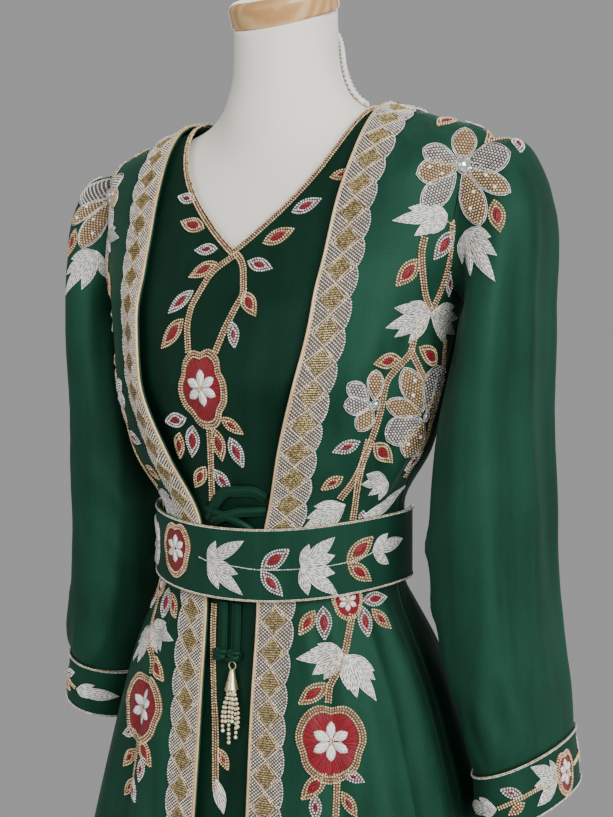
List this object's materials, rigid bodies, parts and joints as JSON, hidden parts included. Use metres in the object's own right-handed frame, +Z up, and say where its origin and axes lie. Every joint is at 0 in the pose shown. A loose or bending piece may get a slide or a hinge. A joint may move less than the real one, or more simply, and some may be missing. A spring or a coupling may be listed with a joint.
{
  "type": "moroccan kaftan on dress form",
  "caption": "Two-layer green kaftan with a beaded open robe over a V-neck dress, a belt and loose sleeves, worn by a limbless dress form on a round base.",
  "frame": {"origin": "centre of the bounding box, on the underside of the round base", "axes": "+Z up along the stand's pole, +X towards the wearer's left, -Y the way the front of the kaftan faces"},
  "size_m": [0.693, 0.5795, 1.5942],
  "materials": {
    "green_georgette": "crepe georgette",
    "green_satin": "satin back crepe",
    "silver_beads": "close silver beading on cloth",
    "gold_beads": "gold beads on thread",
    "red_thread": "satin stitch and beads",
    "form_jersey": "cream jersey over a padded shell",
    "cap_wood": "turned and varnished",
    "stand_metal": "satin black"
  },
  "bodies": {
    "root": {"belt": "green_satin", "belt_strap": "green_satin", "bloom_chest_left": "silver_beads", "bloom_chest_right": "silver_beads", "bloom_dress_front": "red_thread", "bloom_shoulder_left": "silver_beads", "bloom_shoulder_right": "silver_beads", "bloom_skirt_left": "red_thread", "bloom_skirt_right": "red_thread", "border_back_neck": "silver_beads", "border_left": "silver_beads", "border_right": "silver_beads", "cuff_left": "green_satin", "cuff_right": "green_satin", "dress_back": "green_satin", "dress_front": "green_satin", "form_neck_cap": "cap_wood", "form_neck_knob": "stand_metal", "form_torso": "form_jersey", "neck_braid": "silver_beads", "neck_trim": "gold_beads", "robe_back": "green_georgette", "robe_front_left": "green_georgette", "robe_front_right": "green_georgette", "sleeve_left": "green_georgette", "sleeve_right": "green_georgette", "stand_base": "stand_metal", "stand_pole": "stand_metal", "tassel": "gold_beads", "tie_end_left": "green_satin", "tie_end_right": "green_satin", "tie_knot_left": "green_satin", "tie_knot_right": "green_satin", "tie_loop": "green_satin"}
  },
  "joints": []
}
